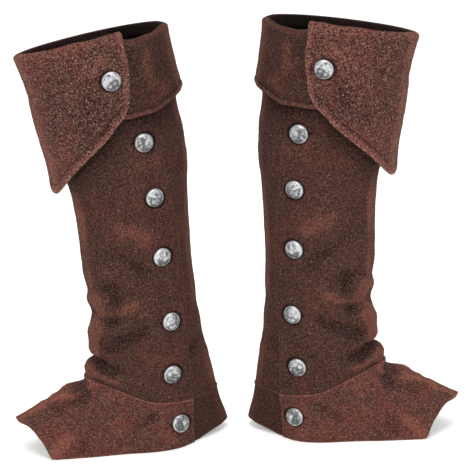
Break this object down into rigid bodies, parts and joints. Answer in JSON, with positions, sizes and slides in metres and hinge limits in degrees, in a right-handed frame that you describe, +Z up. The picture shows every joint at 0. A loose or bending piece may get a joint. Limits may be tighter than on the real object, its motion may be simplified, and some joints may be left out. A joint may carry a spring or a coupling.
{
  "type": "pair of boot covers",
  "caption": "Pair of knee-high suede boot covers standing filled out, with turned-down pointed cuffs, open toes and a column of domed metal buttons down the outer side of each.",
  "frame": {"origin": "centre of the pair's bounding box, on the floor", "axes": "+Z up, +X to the viewer's right across the pair, +Y away from the viewer; both toes point outwards, turned 10 degrees to the viewer"},
  "size_m": [0.5046, 0.1408, 0.473],
  "materials": {
    "suede": "napped reddish brown suede, matte",
    "buttons": "hammered antique silver, satin with dark recesses"
  },
  "bodies": {
    "root": {"left_shaft_front": "suede", "left_shaft_back": "suede", "left_vamp": "suede", "left_heel_band": "suede", "left_cuff_flap": "suede", "left_cuff_band": "suede", "left_button_1": "buttons", "left_button_2": "buttons", "left_button_3": "buttons", "left_button_4": "buttons", "left_button_5": "buttons", "left_button_6": "buttons", "left_button_7": "buttons", "right_shaft_front": "suede", "right_shaft_back": "suede", "right_vamp": "suede", "right_heel_band": "suede", "right_cuff_flap": "suede", "right_cuff_band": "suede", "right_button_1": "buttons", "right_button_2": "buttons", "right_button_3": "buttons", "right_button_4": "buttons", "right_button_5": "buttons", "right_button_6": "buttons", "right_button_7": "buttons"}
  },
  "joints": []
}
